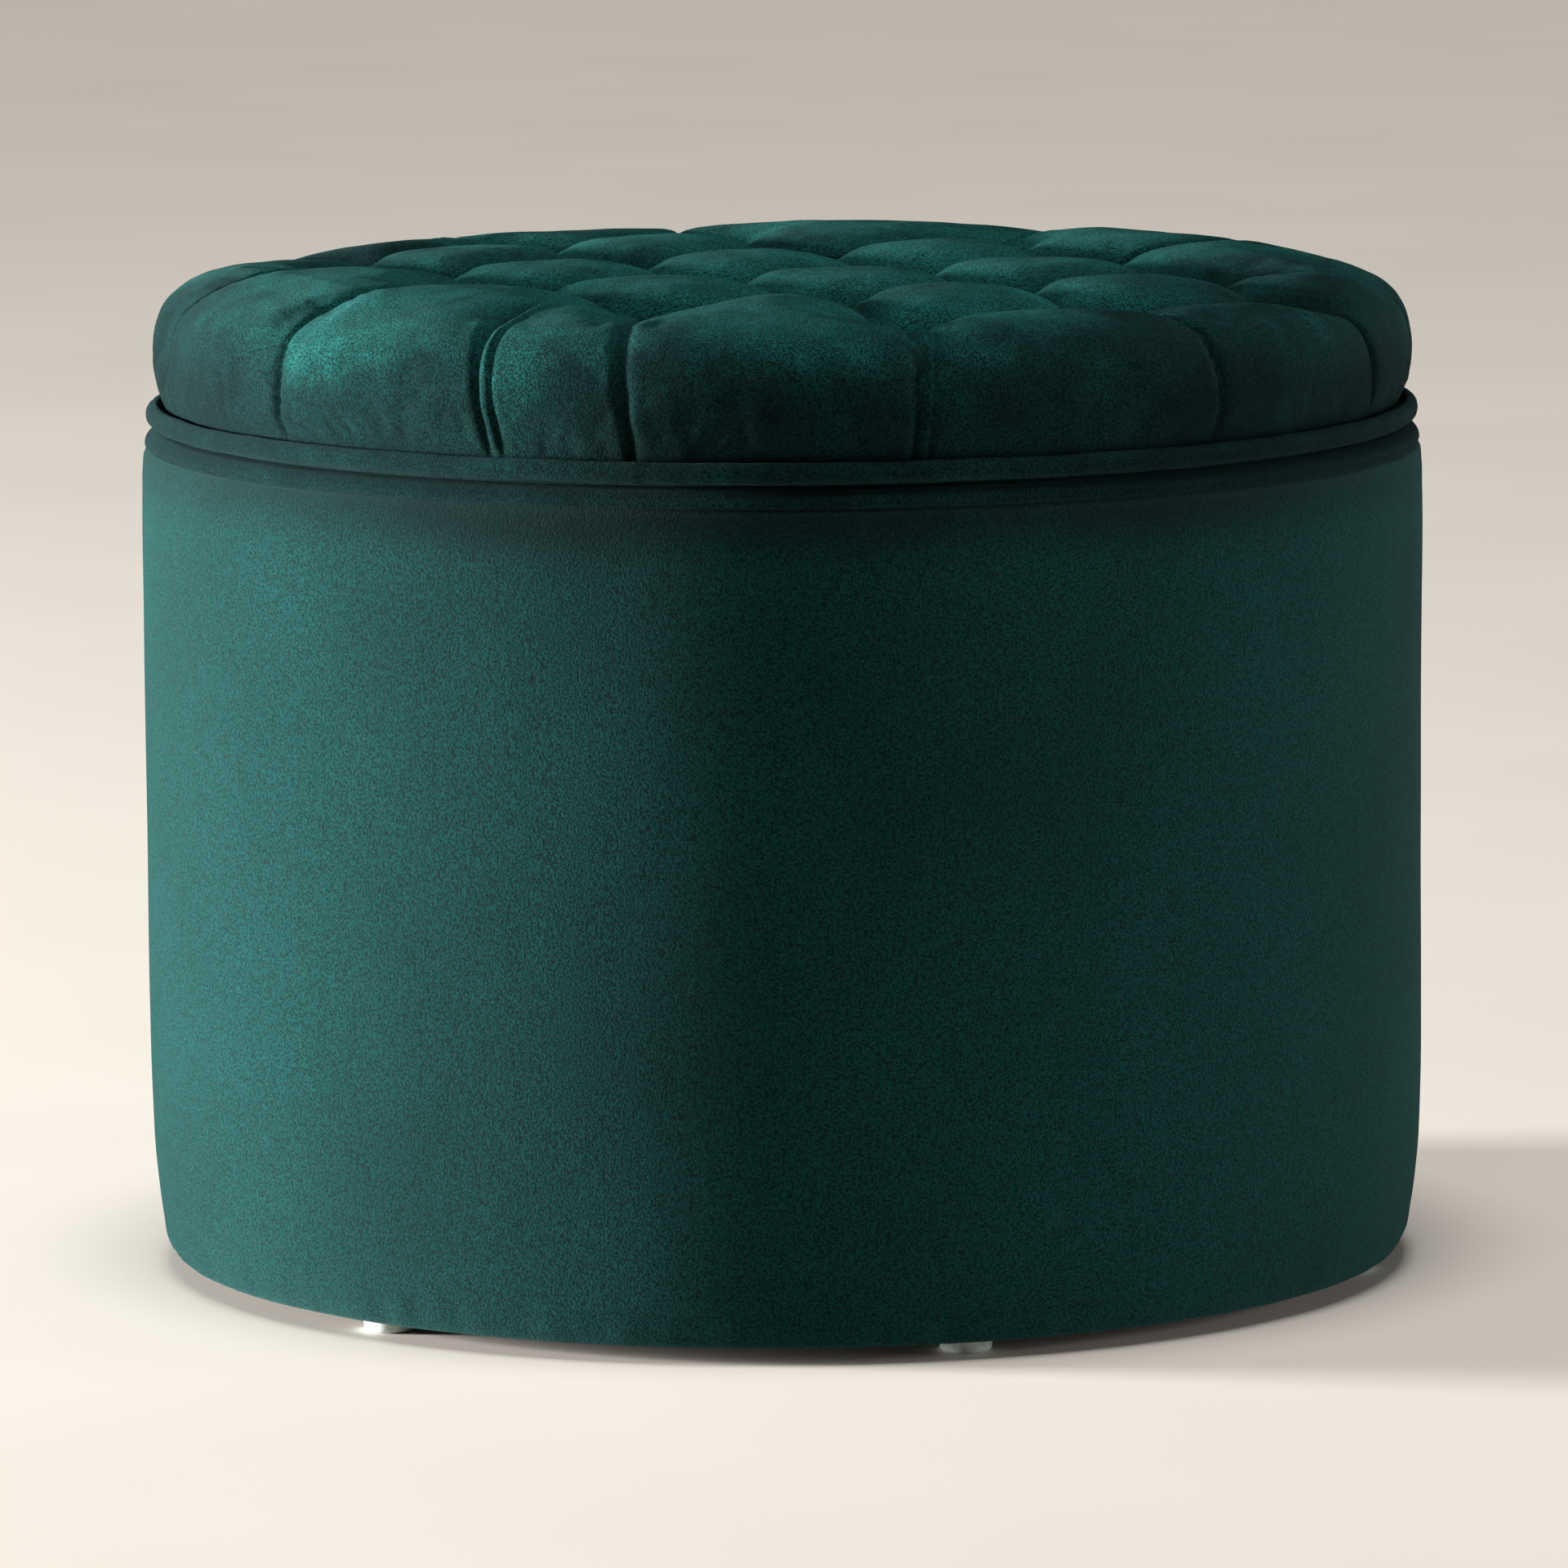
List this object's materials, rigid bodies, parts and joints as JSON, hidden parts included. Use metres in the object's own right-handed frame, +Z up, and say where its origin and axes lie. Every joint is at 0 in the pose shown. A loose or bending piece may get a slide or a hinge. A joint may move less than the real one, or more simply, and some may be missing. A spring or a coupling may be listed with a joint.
{
  "type": "storage ottoman",
  "caption": "Round velvet drum ottoman, hollow inside for storage, on low glides, with a thick button-tufted cushion lid that lifts off.",
  "frame": {"origin": "on the floor plane, on the drum's axis", "axes": "+Z up along the drum's axis; +X along the rows of tufts; the front is towards -Y"},
  "size_m": [0.6007, 0.6006, 0.4715],
  "materials": {
    "velvet": "crushed-pile velvet, deep emerald teal",
    "lining": "plain woven lining, black",
    "dust_cloth": "non-woven cloth, black",
    "foam": "open-cell foam, cream",
    "plywood": "sanded plywood",
    "hardboard": "brown hardboard",
    "softwood": "planed softwood",
    "glide_plastic": "white moulded plastic",
    "steel": "zinc plated",
    "twine": "waxed tufting twine"
  },
  "bodies": {
    "base": {"bottom_board": "plywood", "wall_post_1": "softwood", "wall_post_2": "softwood", "wall_post_3": "softwood", "wall_post_4": "softwood", "wall_post_5": "softwood", "wall_post_6": "softwood", "wall_post_7": "softwood", "wall_post_8": "softwood", "rim_ring": "plywood", "outer_wall": "hardboard", "inner_wall": "hardboard", "wall_padding": "foam", "side_cover": "velvet", "rim_cover": "velvet", "wall_lining": "lining", "floor_lining": "lining", "dust_cover": "dust_cloth", "glide_1": "glide_plastic", "glide_2": "glide_plastic", "glide_3": "glide_plastic", "glide_4": "glide_plastic", "glide_5": "glide_plastic", "glide_6": "glide_plastic", "glide_nails": "steel", "post_screws": "steel", "dust_cover_staples": "steel"},
    "lid": {"lid_board": "plywood", "lid_plug": "plywood", "plug_screws": "steel", "lid_lining": "lining", "lid_cushion": "foam", "lid_cover": "velvet", "lid_welt": "velvet", "tuft_buttons": "velvet", "button_twine": "twine"}
  },
  "joints": [
    {"name": "lid_lift", "type": "slide", "parent": "base", "child": "lid", "axis": [0, 0, 1], "range_m": [0, 0.4]}
  ]
}
